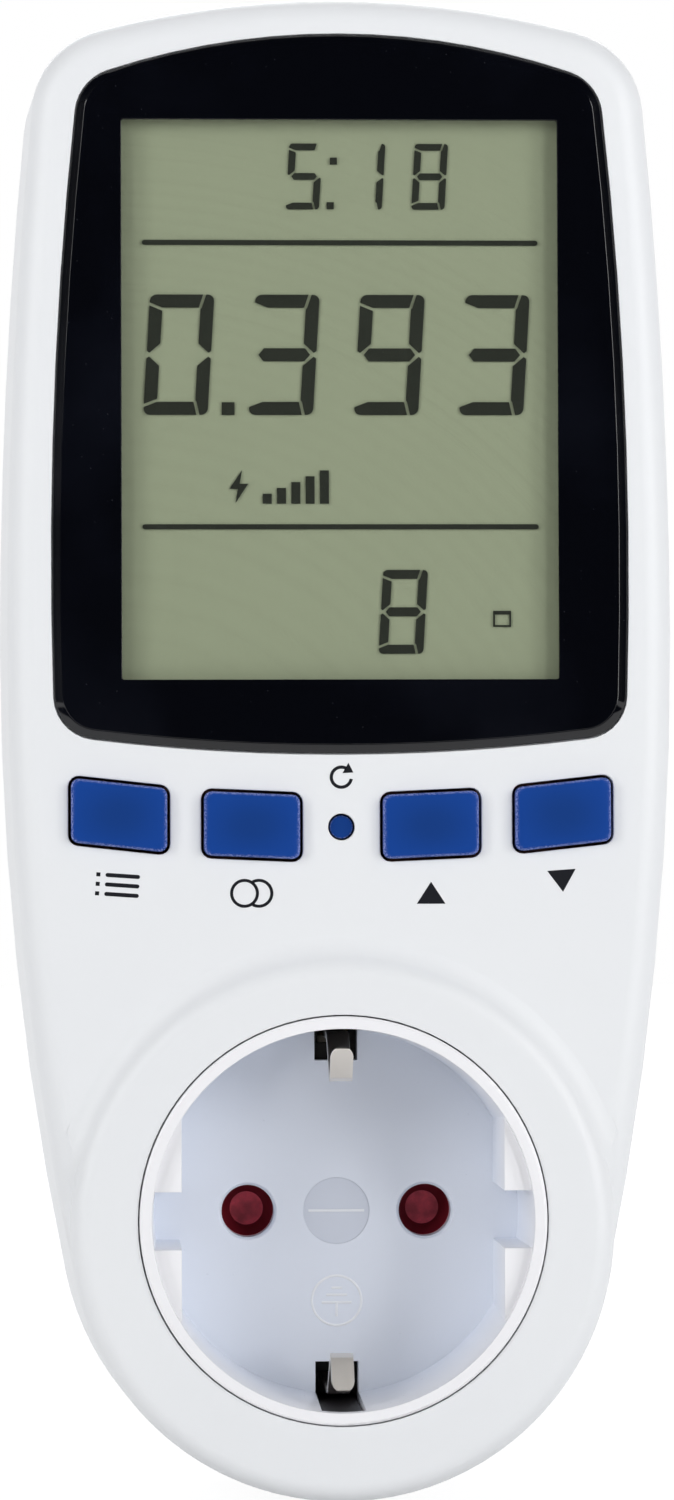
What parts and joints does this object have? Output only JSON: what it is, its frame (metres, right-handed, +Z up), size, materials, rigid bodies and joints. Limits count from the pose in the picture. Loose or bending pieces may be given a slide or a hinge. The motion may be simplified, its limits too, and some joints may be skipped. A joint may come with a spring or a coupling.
{
  "type": "smart energy monitor",
  "caption": "Plug-in mains energy meter: tall rounded housing with a display, a row of soft keys, a shuttered socket in front and a plug behind.",
  "frame": {"origin": "midway between the plug pins, on the plug's front face", "axes": "+Y along the plug pins, into the wall; +Z up, towards the display; the front with the display and socket faces -Y"},
  "size_m": [0.072, 0.0796, 0.1597],
  "materials": {
    "housing_white": "fine satin moulding",
    "insert_white": "satin moulding",
    "holder_white": "plain moulding",
    "bezel_black": "high gloss",
    "clear_window": "clear polished",
    "lcd_glass": "matt polariser film",
    "silicone_pink": "soft",
    "board_green": "solder mask",
    "zinc_steel": "zinc plated",
    "key_blue": "matt silicone",
    "carbon": "matt",
    "shutter_red": "satin moulding",
    "carrier_black": "plain moulding",
    "brass": "stamped",
    "shunt_alloy": "stamped",
    "nickel": "nickel plated",
    "capacitor_yellow": "moulded case",
    "varistor_blue": "dipped coating",
    "cell_green": "shrink sleeve",
    "wire_red": "insulation"
  },
  "bodies": {
    "housing": {"front_cover": "housing_white", "rear_cover": "housing_white", "housing_screws": "zinc_steel", "display_bezel": "bezel_black", "display_window": "clear_window", "lcd_panel": "lcd_glass", "lcd_holder": "holder_white", "contact_strips": "silicone_pink", "display_board": "board_green", "board_screws": "zinc_steel", "keypad_mat": "key_blue", "socket_insert": "insert_white", "socket_floor": "insert_white", "shutter_spring": "zinc_steel", "contact_carrier": "carrier_black", "line_contact": "brass", "neutral_contact": "brass", "shunt": "shunt_alloy", "earth_clip_top": "nickel", "earth_clip_low": "nickel", "earth_bridge": "brass", "plug_base": "insert_white", "plug_plate": "insert_white", "plug_pins": "nickel", "plug_earth_contacts": "nickel", "rear_board": "board_green", "film_capacitor": "capacitor_yellow", "electrolytic": "carrier_black", "varistor": "varistor_blue", "metering_chip": "carrier_black", "driver_chip": "carrier_black", "backup_cell": "cell_green", "board_link": "carrier_black", "sense_wires": "wire_red"},
    "function_key": {"key_function": "key_blue", "pill_function": "carbon"},
    "cost_key": {"key_cost": "key_blue", "pill_cost": "carbon"},
    "up_key": {"key_up": "key_blue", "pill_up": "carbon"},
    "down_key": {"key_down": "key_blue", "pill_down": "carbon"},
    "reset_key": {"key_reset": "key_blue", "pill_reset": "carbon"},
    "shutter": {"shutter_disc": "shutter_red"}
  },
  "joints": [
    {"name": "function_press", "type": "slide", "parent": "housing", "child": "function_key", "axis": [0, 1, 0], "range_m": [0, 0.0008], "stiffness_N_per_m": 900, "deforming": ["keypad_mat"]},
    {"name": "cost_press", "type": "slide", "parent": "housing", "child": "cost_key", "axis": [0, 1, 0], "range_m": [0, 0.0008], "stiffness_N_per_m": 900, "deforming": ["keypad_mat"]},
    {"name": "up_press", "type": "slide", "parent": "housing", "child": "up_key", "axis": [0, 1, 0], "range_m": [0, 0.0008], "stiffness_N_per_m": 900, "deforming": ["keypad_mat"]},
    {"name": "down_press", "type": "slide", "parent": "housing", "child": "down_key", "axis": [0, 1, 0], "range_m": [0, 0.0008], "stiffness_N_per_m": 900, "deforming": ["keypad_mat"]},
    {"name": "reset_press", "type": "slide", "parent": "housing", "child": "reset_key", "axis": [0, 1, 0], "range_m": [0, 0.0008], "stiffness_N_per_m": 700, "deforming": ["keypad_mat"]},
    {"name": "shutter_turn", "type": "hinge", "parent": "housing", "child": "shutter", "pos_m": [0, -0.038, 0], "axis": [0, -1, 0], "range_deg": [0, 40], "stiffness_Nm_per_rad": 0.02, "deforming": ["shutter_spring"]}
  ]
}
